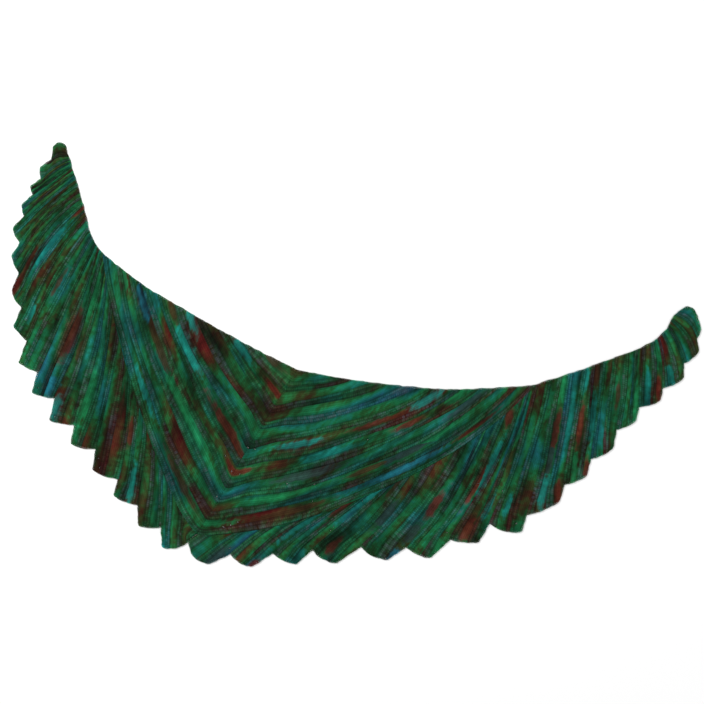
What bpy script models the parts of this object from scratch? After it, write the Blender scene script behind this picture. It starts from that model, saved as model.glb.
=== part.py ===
"""A knitted crescent shawl, laid flat with its neck edge away from the viewer.

It is one layer of cloth, knitted in four sections: a left wing, the left and right arms of a
middle panel whose rows turn in a V, and a right wing. The rows of both wings fan out from the
neck edge, and short rows give them a toothed outer edge. Nine rows make a welt: a soft wide ridge
of smooth rows and two narrow purl ridges, on the upper face. The underside is plain and flat. X
runs along the wings, Y towards the neck edge and Z up. All sizes in this file are millimetres
until a mesh is built, and the origin is under the middle of the shawl's bounding box.
"""
from collections import namedtuple

import bmesh
import bpy
from mathutils import Vector

MM = 0.001

# The cloth's wall
CLOTH = 2.2
WELT_RISE = 1.8
SEAM_GAP = 0.3

# Heights across a welt, row by row, as shares of WELT_RISE: a valley, a band of smooth rows, a
# second valley and two purl ridges with a dip between them
WELT_PROFILE = (0.1, 0.6, 0.8, 0.8, 0.6, 0.1, 1.0, 0.45, 1.0)

# The middle panel. Its rows would meet in sharp corners on the line from NECK_MIDDLE to APEX. They
# turn in soft bends instead, whose middles are on the curve through TURNS.
NECK_MIDDLE = Vector((-116, -40))
APEX = Vector((-334, -386))
TURNS = [Vector(p) for p in ((-116, -40), (-176, -135), (-230, -222), (-279, -310), (-325, -381))]
TURN_FIRST = 40  # how far along a row its bend reaches, on the shortest row and on the longest
TURN_LAST = 75
TURN_HEADING = Vector((0.875, -0.485))
TURN_PULL = 0.42
NECK_LEFT = [Vector(p) for p in ((-116, -40), (-235, 21), (-361, 92), (-445, 143), (-523, 204))]
NECK_RIGHT = [Vector(p) for p in ((-116, -40), (17, -63), (185, -80), (311, -77), (382, -72))]
CENTRE_WELTS = 9
CENTRE_STEPS = 11
STEP_CLOSENESS = 1.5  # how much closer the steps along a row are in its bend than at the neck

# How an arm's rows end along the neck edge and how far they bow, from its shortest row to its
# longest. bow is a share of the row's length, and negative bows to the left.
Arm = namedtuple("Arm", "neck spread bow_first bow_last")
LEFT_ARM = Arm(NECK_LEFT, 0.62, -0.040, -0.040)
RIGHT_ARM = Arm(NECK_RIGHT, 0.65, 0.035, 0.089)
BOW_FULLNESS = 2.4

# A wing's rows at the valleys between its teeth, from its tip to the apex. edge is the row's
# outer end, mid its middle and neck its inner end, which lies on the neck edge or, from the
# corner on, at the seam with the middle panel. tip is the point of the tooth that follows, lean
# says after what share of that tooth's rows it comes, and crown how far the tooth's long edge
# rounds outwards, as a share of its length. knitted counts the tooth's knitted rows.
Row = namedtuple("Row", "edge_x edge_y mid_x mid_y neck_x neck_y tip_x tip_y lean crown knitted")
LEFT_ROWS = [
    Row(-626, 430, -614, 438, -603, 432, -627, 414, 0.5, 0.0, 6),
    Row(-630, 403, -616, 415, -598, 414, -653, 386, 0.5, 0.04, 12),
    Row(-651, 363, -622, 388, -593, 402, -673, 347, 0.22, 0.04, 18),
    Row(-668, 330, -630, 359, -590, 388, -691, 309, 0.12, 0.06, 18),
    Row(-687, 285, -636, 330, -584, 370, -710, 260, 0.12, 0.06, 18),
    Row(-695, 231, -640, 296, -577, 347, -712, 202, 0.12, 0.06, 18),
    Row(-697, 166, -642, 252, -569, 319, -712, 130, 0.12, 0.1, 18),
    Row(-691, 94, -636, 200, -562, 292, -708, 55, 0.12, 0.06, 18),
    Row(-680, 25, -624, 143, -553, 254, -697, -21, 0.12, 0.06, 18),
    Row(-657, -40, -596, 92, -538, 223, -670, -84, 0.12, 0.06, 18),
    Row(-622, -94, -567, 48, -523, 204, -632, -143, 0.12, 0.05, 18),
    Row(-580, -151, -533, 8, -514, 143, -588, -191, 0.12, 0.06, 18),
    Row(-536, -202, -508, -84, -491, 29, -542, -248, 0.12, 0.06, 18),
    Row(-489, -265, -470, -153, -464, -69, -498, -300, 0.12, 0.08, 18),
    Row(-448, -319, -435, -227, -426, -160, -447, -363, 0.12, 0.06, 18),
    Row(-399, -365, -396, -315, -386, -252, -397, -408, 0.12, 0.16, 27),
    Row(-341, -392, -335, -388, -326, -381, -341, -392, 0.0, 0.0, 0),
]
LEFT_CORNER = 10
RIGHT_ROWS = [
    Row(724, 69, 716, 88, 699, 92, 731, 50, 0.3, 0.06, 9),
    Row(722, 29, 704, 59, 678, 76, 727, 2, 0.12, 0.06, 18),
    Row(695, -23, 680, 17, 662, 48, 693, -55, 0.12, 0.06, 18),
    Row(651, -74, 649, -19, 640, 26, 645, -101, 0.12, 0.06, 18),
    Row(601, -113, 607, -48, 611, 9, 594, -143, 0.12, 0.06, 18),
    Row(554, -162, 565, -80, 571, -7, 546, -202, 0.12, 0.06, 18),
    Row(500, -223, 512, -120, 523, -24, 491, -258, 0.12, 0.06, 18),
    Row(444, -277, 464, -158, 481, -40, 435, -311, 0.12, 0.06, 18),
    Row(365, -340, 401, -197, 430, -56, 353, -376, 0.12, 0.1, 18),
    Row(288, -358, 344, -212, 382, -72, 264, -397, 0.16, 0.06, 18),
    Row(206, -391, 288, -252, 349, -105, 164, -430, 0.2, 0.08, 18),
    Row(114, -407, 200, -298, 265, -176, 76, -433, 0.2, 0.12, 18),
    Row(19, -407, 92, -330, 151, -250, -34, -441, 0.2, 0.12, 18),
    Row(-82, -412, -8, -351, 61, -288, -118, -443, 0.12, 0.08, 18),
    Row(-166, -420, -105, -368, -44, -326, -212, -449, 0.2, 0.1, 18),
    Row(-254, -422, -220, -395, -189, -370, -302, -443, 0.2, 0.22, 18),
    Row(-340.7, -392.3, -334.6, -388.4, -325, -383, -340.7, -392.3, 0.0, 0.0, 0),
]
RIGHT_CORNER = 9
WING_STEPS = 7
ROOT_SHARE = 0.1  # a row's own curve starts this far in from the valley between two teeth

WOOL_ROUGHNESS = 0.95
WOOL = {
    "left_wing": (0.016, 0.105, 0.066),
    "centre_left": (0.012, 0.112, 0.052),
    "centre_right": (0.014, 0.098, 0.070),
    "right_wing": (0.018, 0.092, 0.058),
}


def smooth(points, place):
    """A point on the smooth curve through points: place 1.5 is halfway from the 2nd to the 3rd."""
    k = min(int(place), len(points) - 2)
    u = place - k
    here, there = points[k], points[k + 1]
    before = points[k - 1] if k else here * 2 - there
    after = points[k + 2] if k + 2 < len(points) else there * 2 - here
    return (
        here * 2
        + (there - before) * u
        + (before * 2 - here * 5 + there * 4 - after) * u**2
        + (here * 3 - before - there * 3 + after) * u**3
    ) * 0.5


def place_along(points, share):
    """The place, as smooth reads it, at a share of the way along points."""
    lengths = [(b - a).length for a, b in zip(points, points[1:])]
    left = share * sum(lengths)
    for k, length in enumerate(lengths):
        if left <= length:
            return k + left / length
        left -= length
    return len(points) - 1


def bowed(start, end, bow, t):
    """A point at share t of a row that bows sideways between start and end."""
    chord = end - start
    side = Vector((chord.y, -chord.x))
    return start + chord * t + side * bow * (1 - abs(2 * t - 1) ** BOW_FULLNESS)


def arm_point(arm, f, t):
    """A point of the middle panel: f runs from the neck to the apex, t from the V outwards."""
    start = NECK_MIDDLE.lerp(APEX, f)
    end = smooth(arm.neck, place_along(arm.neck, f**arm.spread))
    bow = arm.bow_first + (arm.bow_last - arm.bow_first) * f
    length = (end - start).length
    reach = min(TURN_FIRST + (TURN_LAST - TURN_FIRST) * f, length / 2)
    if t * length >= reach:
        return bowed(start, end, bow, t)
    # The bend: from its middle, heading across the V, into the row
    share = reach / length
    joined = bowed(start, end, bow, share)
    onward = (bowed(start, end, bow, share + 0.001) - joined) * share / 0.001
    outward = TURN_HEADING * reach * TURN_PULL * (1 if arm.bow_last > 0 else -1)
    turn = smooth(TURNS, f * (len(TURNS) - 1))
    u = t / share
    return (
        turn * (1 - 3 * u**2 + 2 * u**3)
        + outward * (u - 2 * u**2 + u**3)
        + joined * (3 * u**2 - 2 * u**3)
        + onward * (u**3 - u**2)
    )


def seam_line(arm, t):
    """A point of the panel's longest row. Below 0 it runs on round the bend, up the other arm."""
    if t < 0:
        return arm_point(LEFT_ARM if arm is RIGHT_ARM else RIGHT_ARM, 1, -t)
    return arm_point(arm, 1, t)


def seam_point(arm, t):
    """A point on the wing's side of the seam: the panel's longest row, moved out by the gap."""
    step = 0.001
    along = (seam_line(arm, t + step) - seam_line(arm, t - step)).normalized()
    side = Vector((along.y, -along.x)) * (1 if arm.bow_last > 0 else -1)
    return seam_line(arm, t) + side * SEAM_GAP


def seam_share(arm, point):
    """How far along the seam a point lies."""
    shares = [k / 500 for k in range(-50, 501)]
    return min(shares, key=lambda t: (seam_line(arm, t) - point).length)


def tooth_point(rows, place, steps):
    """The outer edge at a place along a wing's rows: up one side of a tooth and down the other."""
    k = min(int(place), len(rows) - 2)
    row, after = rows[k], rows[k + 1]
    start, end = Vector((row.edge_x, row.edge_y)), Vector((after.edge_x, after.edge_y))
    tip = Vector((row.tip_x, row.tip_y))
    lean = max(1, round(row.lean * steps)) / steps
    u = place - k
    if u <= lean:
        return start.lerp(tip, u / lean)
    fall = (u - lean) / (1 - lean)
    long_edge = end - tip
    side = Vector((long_edge.y, -long_edge.x))
    if side.dot(start - tip) > 0:
        side = -side
    return tip.lerp(end, fall) + side * row.crown * 4 * fall * (1 - fall)


def wing_row(rows, corner, arm, place, steps, count):
    """The points of one row of a wing, from its outer edge to its inner end."""
    edges = [Vector((r.edge_x, r.edge_y)) for r in rows]
    mids = [Vector((r.mid_x, r.mid_y)) for r in rows]
    necks = [Vector((r.neck_x, r.neck_y)) for r in rows]
    if place >= corner:
        shares = [seam_share(arm, p) for p in necks[corner:]]
        shares[0] = 1
        k = min(int(place) - corner, len(shares) - 2)
        inner = seam_point(arm, shares[k] + (shares[k + 1] - shares[k]) * (place - corner - k))
    else:
        inner = smooth(necks[:corner] + [seam_point(arm, 1)], place)
    outer = tooth_point(rows, place, steps)
    root = smooth([e.lerp(m, ROOT_SHARE) for e, m in zip(edges, mids)], place)
    middle = smooth(mids, place)
    pull = middle * 2 - (root + inner) / 2
    stub = (outer - root).length
    length = stub + (middle - root).length + (inner - middle).length
    points = []
    for j in range(count + 1):
        run = length * j / count
        if run < stub:
            points.append(outer.lerp(root, run / stub))
        else:
            t = (run - stub) / (length - stub)
            points.append(root * (1 - t) ** 2 + pull * 2 * t * (1 - t) + inner * t**2)
    return points


def wing_grid(rows, corner, arm):
    """Rows of points over a wing, with each row's height above the cloth."""
    grid, heights = [], []
    for k, row in enumerate(rows[:-1]):
        steps = row.knitted
        for i in range(steps):
            grid.append(wing_row(rows, corner, arm, k + i / steps, steps, WING_STEPS))
            heights.append(WELT_PROFILE[len(heights) % len(WELT_PROFILE)])
    grid.append(wing_row(rows, corner, arm, len(rows) - 1, steps, WING_STEPS))
    heights.append(WELT_PROFILE[0])
    return grid, heights


def arm_grid(arm):
    """Rows of points over one arm of the middle panel, with each row's height."""
    grid, heights = [], []
    total = CENTRE_WELTS * len(WELT_PROFILE)
    inset = Vector((SEAM_GAP / 2 if arm.bow_last > 0 else -SEAM_GAP / 2, 0))
    for i in range(total + 1):
        row = []
        for j in range(CENTRE_STEPS + 1):
            # The first row is a single point
            t = (j / CENTRE_STEPS) ** STEP_CLOSENESS if i else 0
            row.append(arm_point(arm, i / total, t) + inset * (1 - t))
        grid.append(row)
        heights.append(WELT_PROFILE[i % len(WELT_PROFILE)])
    return grid, heights


def wool(name):
    """A plain wool finish in a section's main colour."""
    material = bpy.data.materials.new(name)
    material.use_nodes = True
    shader = material.node_tree.nodes["Principled BSDF"]
    shader.inputs["Base Color"].default_value = (*WOOL[name], 1)
    shader.inputs["Roughness"].default_value = WOOL_ROUGHNESS
    shader.inputs["Metallic"].default_value = 0
    return material


def knitted_section(name, grid, heights, middle, collection):
    """A wall of cloth over a grid of points: flat underneath, with welts on its upper face."""
    rows, columns = len(grid), len(grid[0])
    bm = bmesh.new()
    made = bmesh.ops.create_grid(bm, x_segments=rows - 1, y_segments=columns - 1, size=1)
    places = {}
    for vert in made["verts"]:
        # The new grid is a square from -1 to 1, so a vertex's place in it gives its row and column
        places[vert] = (
            round((vert.co.x + 1) / 2 * (rows - 1)),
            round((vert.co.y + 1) / 2 * (columns - 1)),
        )
    under = list(bm.faces)
    upper = bmesh.ops.duplicate(bm, geom=bm.verts[:] + bm.edges[:] + under)
    for vert, (i, j) in places.items():
        vert.co = ((grid[i][j] - middle) * MM).to_3d()
        above = upper["vert_map"][vert]
        above.co = vert.co
        above.co.z = (CLOTH + WELT_RISE * heights[i]) * MM
    rims = [edge for edge in bm.edges if edge.is_boundary]
    bmesh.ops.bridge_loops(bm, edges=rims)
    bmesh.ops.remove_doubles(bm, verts=bm.verts, dist=0.01 * MM)
    bmesh.ops.recalc_face_normals(bm, faces=bm.faces)
    mesh = bpy.data.meshes.new(name)
    bm.to_mesh(mesh)
    bm.free()
    mesh.materials.append(wool(name))
    section = bpy.data.objects.new(name, mesh)
    collection.objects.link(section)
    return section


def main():
    for old in list(bpy.data.objects):
        bpy.data.objects.remove(old)
    collection = bpy.data.collections.new("knitted_shawl")
    bpy.context.scene.collection.children.link(collection)
    sections = {
        "left_wing": wing_grid(LEFT_ROWS, LEFT_CORNER, LEFT_ARM),
        "centre_left": arm_grid(LEFT_ARM),
        "centre_right": arm_grid(RIGHT_ARM),
        "right_wing": wing_grid(RIGHT_ROWS, RIGHT_CORNER, RIGHT_ARM),
    }
    points = [point for grid, _ in sections.values() for row in grid for point in row]
    lowest = Vector((min(p.x for p in points), min(p.y for p in points)))
    highest = Vector((max(p.x for p in points), max(p.y for p in points)))
    for name, (grid, heights) in sections.items():
        knitted_section(name, grid, heights, (lowest + highest) / 2, collection)


main()
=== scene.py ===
# %% [markdown]
# # A knitted shawl, laid flat
# The shawl is a crescent of thick-and-thin wool, knitted in one layer. It is worked in welts of
# nine rows: a wide band of smooth stitches, then two narrow ridges of purl bumps. Both wings fan
# out from the neck edge, short rows give them a toothed lower edge, and the rows of the middle
# panel turn in a V. This script knits it again as a mesh. It lays out every half row of knitting
# as a path, sets points along it at the stitches, and joins each row to the next.

import math
from collections import namedtuple

import bmesh
import bpy
import numpy as np
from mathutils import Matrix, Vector
from mathutils.kdtree import KDTree


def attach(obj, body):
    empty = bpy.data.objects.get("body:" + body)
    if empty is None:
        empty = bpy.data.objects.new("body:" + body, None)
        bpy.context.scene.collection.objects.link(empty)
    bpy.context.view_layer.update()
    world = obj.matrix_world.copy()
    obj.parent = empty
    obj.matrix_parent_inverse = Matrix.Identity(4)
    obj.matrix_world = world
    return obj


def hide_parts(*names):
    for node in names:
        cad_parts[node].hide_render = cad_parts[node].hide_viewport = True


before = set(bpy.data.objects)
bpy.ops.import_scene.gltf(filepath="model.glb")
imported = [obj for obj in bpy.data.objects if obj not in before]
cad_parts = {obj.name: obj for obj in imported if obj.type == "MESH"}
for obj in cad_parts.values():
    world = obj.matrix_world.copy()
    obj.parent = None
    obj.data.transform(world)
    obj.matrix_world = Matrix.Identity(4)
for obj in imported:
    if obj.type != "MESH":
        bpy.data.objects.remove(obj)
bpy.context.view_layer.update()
MM = 0.001

# %% [markdown]
# ## The camera and the light
# The photograph looks straight down on the spread shawl, in soft light that comes a little more
# from the upper left. A pixel of it is 2.1 mm of cloth, so a camera 3 m up needs a lens of 73 mm.
# One large lamp is the main light, a weaker one fills in, and the pale floor is lit evenly. The
# plain colour transform keeps the dye colours as they are set.

# %% A camera 3 m above the cloth
PIXEL = 2.1
FRAME_PIXELS = 704
CAMERA_HEIGHT = 3.0
SENSOR = 36
MIDDLE = Vector((9.5, -5.45))  # the middle of the shawl's box in the row tables, in millimetres

scene = bpy.context.scene
camera_data = bpy.data.cameras.new("camera")
camera_data.sensor_width = SENSOR
camera_data.lens = SENSOR * CAMERA_HEIGHT / (FRAME_PIXELS * PIXEL * MM)
camera = bpy.data.objects.new("camera", camera_data)
camera.location = (-MIDDLE.x * MM, -MIDDLE.y * MM, CAMERA_HEIGHT)
scene.collection.objects.link(camera)
scene.camera = camera
print("lens:", round(camera_data.lens, 1), "mm")


# %% Lamps, the world's light and the floor
def lamp(name, place, size, power):
    """A square area lamp that shines at the middle of the floor."""
    data = bpy.data.lights.new(name, "AREA")
    data.size = size
    data.energy = power
    made = bpy.data.objects.new(name, data)
    made.location = place
    made.rotation_euler = (-Vector(place)).to_track_quat("-Z", "Y").to_euler()
    scene.collection.objects.link(made)
    return made


lamp("main_lamp", (-2.2, 2.0, 2.3), 1.3, 105)
lamp("fill_lamp", (2.4, -1.2, 3.0), 2.5, 40)

world = bpy.data.worlds.new("studio")
world.use_nodes = True
world.node_tree.nodes["Background"].inputs["Color"].default_value = (1, 1, 1, 1)
world.node_tree.nodes["Background"].inputs["Strength"].default_value = 0.62
scene.world = world
scene.view_settings.view_transform = "Standard"

FLOOR = -0.1 * MM  # so that it and the cloth's flat underside aren't one surface
floor_corners = [(x, y, FLOOR) for x, y in ((-9, -9), (9, -9), (9, 9), (-9, 9))]
floor_mesh = bpy.data.meshes.new("floor")
floor_mesh.from_pydata(floor_corners, [], [(0, 1, 2, 3)])
floor = bpy.data.objects.new("floor", floor_mesh)
scene.collection.objects.link(floor)
floor_material = bpy.data.materials.new("Pale floor")
floor_material.use_nodes = True
floor_shader = floor_material.node_tree.nodes["Principled BSDF"]
floor_shader.inputs["Base Color"].default_value = (0.9, 0.9, 0.9, 1)
floor_shader.inputs["Roughness"].default_value = 0.9
floor_shader.inputs["Specular IOR Level"].default_value = 0.2
floor_mesh.materials.append(floor_material)
print("lamps: 2, floor:", floor.name)

# %% [markdown]
# ## The rows
# Everything on the shawl follows its rows, so they come first. The tables are the ones that the
# solid model is made from, in millimetres. A wing's table holds the row at each valley between two
# teeth: its outer end, its middle and its inner end, then the tip of the tooth that follows. The
# rows between come from a smooth curve through the table's rows.

# %% The middle panel's sizes
# Its rows would meet in sharp corners on the line from NECK_MIDDLE to APEX. They turn in soft bends
# instead, whose middles are on the curve through TURNS.
NECK_MIDDLE = Vector((-116, -40))
APEX = Vector((-334, -386))
TURNS = [Vector(p) for p in ((-116, -40), (-176, -135), (-230, -222), (-279, -310), (-325, -381))]
TURN_FIRST = 40  # how far along a row its bend reaches, on the shortest row and on the longest
TURN_LAST = 75
TURN_HEADING = Vector((0.875, -0.485))
TURN_PULL = 0.42
NECK_LEFT = [Vector(p) for p in ((-116, -40), (-235, 21), (-361, 92), (-445, 143), (-523, 204))]
NECK_RIGHT = [Vector(p) for p in ((-116, -40), (17, -63), (185, -80), (311, -77), (382, -72))]
CENTRE_WELTS = 9

# bow is how far a row bows sideways, as a share of its length; negative bows to the left
Arm = namedtuple("Arm", "neck spread bow_first bow_last")
LEFT_ARM = Arm(NECK_LEFT, 0.62, -0.040, -0.040)
RIGHT_ARM = Arm(NECK_RIGHT, 0.65, 0.035, 0.089)
BOW_FULLNESS = 2.4
SEAM_STEPS = 500  # places tried along the panel's longest row for a wing's inner ends
print("middle panel:", CENTRE_WELTS, "welts on each arm")

# %% The wings' rows at the valleys between their teeth
# lean says after what share of a tooth's rows its tip comes, and crown how far its long edge
# rounds outwards, as a share of its length. knitted counts the tooth's knitted rows.
Row = namedtuple("Row", "edge_x edge_y mid_x mid_y neck_x neck_y tip_x tip_y lean crown knitted")
LEFT_ROWS = [
    Row(-626, 430, -614, 438, -603, 432, -627, 414, 0.5, 0.0, 6),
    Row(-630, 403, -616, 415, -598, 414, -653, 386, 0.5, 0.04, 12),
    Row(-651, 363, -622, 388, -593, 402, -673, 347, 0.22, 0.04, 18),
    Row(-668, 330, -630, 359, -590, 388, -691, 309, 0.12, 0.06, 18),
    Row(-687, 285, -636, 330, -584, 370, -710, 260, 0.12, 0.06, 18),
    Row(-695, 231, -640, 296, -577, 347, -712, 202, 0.12, 0.06, 18),
    Row(-697, 166, -642, 252, -569, 319, -712, 130, 0.12, 0.1, 18),
    Row(-691, 94, -636, 200, -562, 292, -708, 55, 0.12, 0.06, 18),
    Row(-680, 25, -624, 143, -553, 254, -697, -21, 0.12, 0.06, 18),
    Row(-657, -40, -596, 92, -538, 223, -670, -84, 0.12, 0.06, 18),
    Row(-622, -94, -567, 48, -523, 204, -632, -143, 0.12, 0.05, 18),
    Row(-580, -151, -533, 8, -514, 143, -588, -191, 0.12, 0.06, 18),
    Row(-536, -202, -508, -84, -491, 29, -542, -248, 0.12, 0.06, 18),
    Row(-489, -265, -470, -153, -464, -69, -498, -300, 0.12, 0.08, 18),
    Row(-448, -319, -435, -227, -426, -160, -447, -363, 0.12, 0.06, 18),
    Row(-399, -365, -396, -315, -386, -252, -397, -408, 0.12, 0.16, 27),
    Row(-341, -392, -335, -388, -326, -381, -341, -392, 0.0, 0.0, 0),
]
LEFT_CORNER = 10
RIGHT_ROWS = [
    Row(724, 69, 716, 88, 699, 92, 731, 50, 0.3, 0.06, 9),
    Row(722, 29, 704, 59, 678, 76, 727, 2, 0.12, 0.06, 18),
    Row(695, -23, 680, 17, 662, 48, 693, -55, 0.12, 0.06, 18),
    Row(651, -74, 649, -19, 640, 26, 645, -101, 0.12, 0.06, 18),
    Row(601, -113, 607, -48, 611, 9, 594, -143, 0.12, 0.06, 18),
    Row(554, -162, 565, -80, 571, -7, 546, -202, 0.12, 0.06, 18),
    Row(500, -223, 512, -120, 523, -24, 491, -258, 0.12, 0.06, 18),
    Row(444, -277, 464, -158, 481, -40, 435, -311, 0.12, 0.06, 18),
    Row(365, -340, 401, -197, 430, -56, 353, -376, 0.12, 0.1, 18),
    Row(288, -358, 344, -212, 382, -72, 264, -397, 0.16, 0.06, 18),
    Row(206, -391, 288, -252, 349, -105, 164, -430, 0.2, 0.08, 18),
    Row(114, -407, 200, -298, 265, -176, 76, -433, 0.2, 0.12, 18),
    Row(19, -407, 92, -330, 151, -250, -34, -441, 0.2, 0.12, 18),
    Row(-82, -412, -8, -351, 61, -288, -118, -443, 0.12, 0.08, 18),
    Row(-166, -420, -105, -368, -44, -326, -212, -449, 0.2, 0.1, 18),
    Row(-254, -422, -220, -395, -189, -370, -302, -443, 0.2, 0.22, 18),
    Row(-340.7, -392.3, -334.6, -388.4, -325, -383, -340.7, -392.3, 0.0, 0.0, 0),
]
RIGHT_CORNER = 9
ROOT_SHARE = 0.1  # a row's own curve starts this far in from the valley between two teeth
print("teeth:", len(LEFT_ROWS) - 1, "left,", len(RIGHT_ROWS) - 1, "right")


# %% Smooth curves through a table's points
def smooth(points, place):
    """A point on the smooth curve through points: place 1.5 is halfway from the 2nd to the 3rd."""
    k = min(int(place), len(points) - 2)
    u = place - k
    here, there = points[k], points[k + 1]
    before = points[k - 1] if k else here * 2 - there
    after = points[k + 2] if k + 2 < len(points) else there * 2 - here
    return (
        here * 2
        + (there - before) * u
        + (before * 2 - here * 5 + there * 4 - after) * u**2
        + (here * 3 - before - there * 3 + after) * u**3
    ) * 0.5


def place_along(points, share):
    """The place, as smooth reads it, at a share of the way along points."""
    lengths = [(b - a).length for a, b in zip(points, points[1:])]
    left = share * sum(lengths)
    for k, length in enumerate(lengths):
        if left <= length:
            return k + left / length
        left -= length
    return len(points) - 1


print("neck edge, halfway on the right:", smooth(NECK_RIGHT, place_along(NECK_RIGHT, 0.5)))


# %% A point of the middle panel
def bowed(start, end, bow, t):
    """A point at share t of a row that bows sideways between start and end."""
    chord = end - start
    side = Vector((chord.y, -chord.x))
    return start + chord * t + side * bow * (1 - abs(2 * t - 1) ** BOW_FULLNESS)


def arm_point(arm, f, t):
    """A point of the middle panel: f runs from the neck to the apex, t from the V outwards."""
    start = NECK_MIDDLE.lerp(APEX, f)
    end = smooth(arm.neck, place_along(arm.neck, f**arm.spread))
    bow = arm.bow_first + (arm.bow_last - arm.bow_first) * f
    length = (end - start).length
    reach = min(TURN_FIRST + (TURN_LAST - TURN_FIRST) * f, length / 2)
    if t * length >= reach:
        return bowed(start, end, bow, t)
    # The bend: from its middle, heading across the V, into the row
    share = reach / length
    joined = bowed(start, end, bow, share)
    onward = (bowed(start, end, bow, share + 0.001) - joined) * share / 0.001
    outward = TURN_HEADING * reach * TURN_PULL * (1 if arm.bow_last > 0 else -1)
    turn = smooth(TURNS, f * (len(TURNS) - 1))
    u = t / share
    return (
        turn * (1 - 3 * u**2 + 2 * u**3)
        + outward * (u - 2 * u**2 + u**3)
        + joined * (3 * u**2 - 2 * u**3)
        + onward * (u**3 - u**2)
    )


def seam_shares(arm, rows, corner):
    """How far along the panel's longest row the inner ends of a wing's rows lie, in the table's
    rows from the corner on."""
    steps = [k / SEAM_STEPS for k in range(SEAM_STEPS + 1)]
    seam = [arm_point(arm, 1, t) for t in steps]
    shares = [1.0]
    for row in rows[corner + 1 :]:
        inner = Vector((row.neck_x, row.neck_y))
        nearest_step = min(range(len(steps)), key=lambda k: (seam[k] - inner).length)
        shares.append(steps[nearest_step])
    return shares


# shares are the places along the seam of a wing's inner ends, from its corner on
Wing = namedtuple("Wing", "rows corner arm shares")
LEFT_WING = Wing(
    LEFT_ROWS, LEFT_CORNER, LEFT_ARM, seam_shares(LEFT_ARM, LEFT_ROWS, LEFT_CORNER)
)
RIGHT_WING = Wing(
    RIGHT_ROWS, RIGHT_CORNER, RIGHT_ARM, seam_shares(RIGHT_ARM, RIGHT_ROWS, RIGHT_CORNER)
)
print("longest rows end at", arm_point(LEFT_ARM, 1, 1), "and", arm_point(RIGHT_ARM, 1, 1))


# %% A row of a wing
def tooth_point(rows, place, steps):
    """The outer edge at a place along a wing's rows: up one side of a tooth and down the other."""
    k = min(int(place), len(rows) - 2)
    row, after = rows[k], rows[k + 1]
    start, end = Vector((row.edge_x, row.edge_y)), Vector((after.edge_x, after.edge_y))
    tip = Vector((row.tip_x, row.tip_y))
    lean = max(1, round(row.lean * steps)) / steps
    u = place - k
    if u <= lean:
        return start.lerp(tip, u / lean)
    fall = (u - lean) / (1 - lean)
    long_edge = end - tip
    side = Vector((long_edge.y, -long_edge.x))
    if side.dot(start - tip) > 0:
        side = -side
    return tip.lerp(end, fall) + side * row.crown * 4 * fall * (1 - fall)


def wing_row(wing, place, steps, count):
    """The points of one row of a wing, from its outer edge to its inner end."""
    rows, corner, arm, shares = wing
    edges = [Vector((r.edge_x, r.edge_y)) for r in rows]
    mids = [Vector((r.mid_x, r.mid_y)) for r in rows]
    necks = [Vector((r.neck_x, r.neck_y)) for r in rows]
    if place >= corner:
        k = min(int(place) - corner, len(shares) - 2)
        inner = arm_point(arm, 1, shares[k] + (shares[k + 1] - shares[k]) * (place - corner - k))
    else:
        inner = smooth(necks[:corner] + [arm_point(arm, 1, 1)], place)
    outer = tooth_point(rows, place, steps)
    root = smooth([e.lerp(m, ROOT_SHARE) for e, m in zip(edges, mids)], place)
    middle = smooth(mids, place)
    pull = middle * 2 - (root + inner) / 2
    stub = (outer - root).length
    length = stub + (middle - root).length + (inner - middle).length
    points = []
    for j in range(count + 1):
        run = length * j / count
        if run < stub:
            points.append(outer.lerp(root, run / stub))
        else:
            t = (run - stub) / (length - stub)
            points.append(root * (1 - t) ** 2 + pull * 2 * t * (1 - t) + inner * t**2)
    return points


print("a row of the left wing:", wing_row(LEFT_WING, 5, 18, 4))

# %% [markdown]
# ## From rows to a lattice of stitches
# A grid with a fixed number of columns would squeeze its stitches where the rows are short. In real
# knitting the stitch keeps its size, and a longer row has more of them. So each half row gets a
# point at every half stitch of its own length, and the counting starts where the row before it
# says, so that the columns of stitches run square to the rows. Two rows with different numbers of
# points are then zipped together with four-sided and three-sided faces.

# %% The gauge
ROWS_PER_WELT = 9
SMOOTH_SHARE = 5 / 9  # of a welt. Its ridges are on the sixth and eighth rows
SAMPLES = 2  # paths for each row of knitting, and points for each stitch
STITCH = 4.6
ROW_HEIGHT = 3.4
PATH_POINTS = 72
TURN_DETAIL = 1.5  # above 1, an arm's points lie closer together near the V


def wing_paths(wing):
    """Every half row of a wing, from its tip to the apex."""
    paths = []
    for k, row in enumerate(wing.rows[:-1]):
        for i in range(row.knitted * SAMPLES):
            place = k + i / (row.knitted * SAMPLES)
            paths.append(wing_row(wing, place, row.knitted, PATH_POINTS))
    paths.append(wing_row(wing, len(wing.rows) - 1, wing.rows[-2].knitted, PATH_POINTS))
    return paths


def arm_paths(arm):
    """Every half row of one arm of the middle panel, from the neck to the apex."""
    total = CENTRE_WELTS * ROWS_PER_WELT * SAMPLES
    shares = [(j / PATH_POINTS) ** TURN_DETAIL for j in range(PATH_POINTS + 1)]
    return [[arm_point(arm, i / total, t) for t in shares] for i in range(total + 1)]


PATHS = {
    "left_wing": wing_paths(LEFT_WING),
    "centre_left": arm_paths(LEFT_ARM),
    "centre_right": arm_paths(RIGHT_ARM),
    "right_wing": wing_paths(RIGHT_WING),
}
for name, paths in PATHS.items():
    print(name, "has", len(paths) // SAMPLES, "rows")

# %% Points at the half stitches of every path
Lattice = namedtuple("Lattice", "points stitch yarn row edge ends faces")
END_CLEARANCE = 0.15  # in stitches, between a row's end and the first point beside it
EDGE_FADE = 5.0  # millimetres over which the cloth thins towards its free edge
SAME_STITCH = 0.01  # stitch numbers closer than this are one
SHORTEST_PATH = 0.5  # a shorter path, in millimetres, is one point


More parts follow.
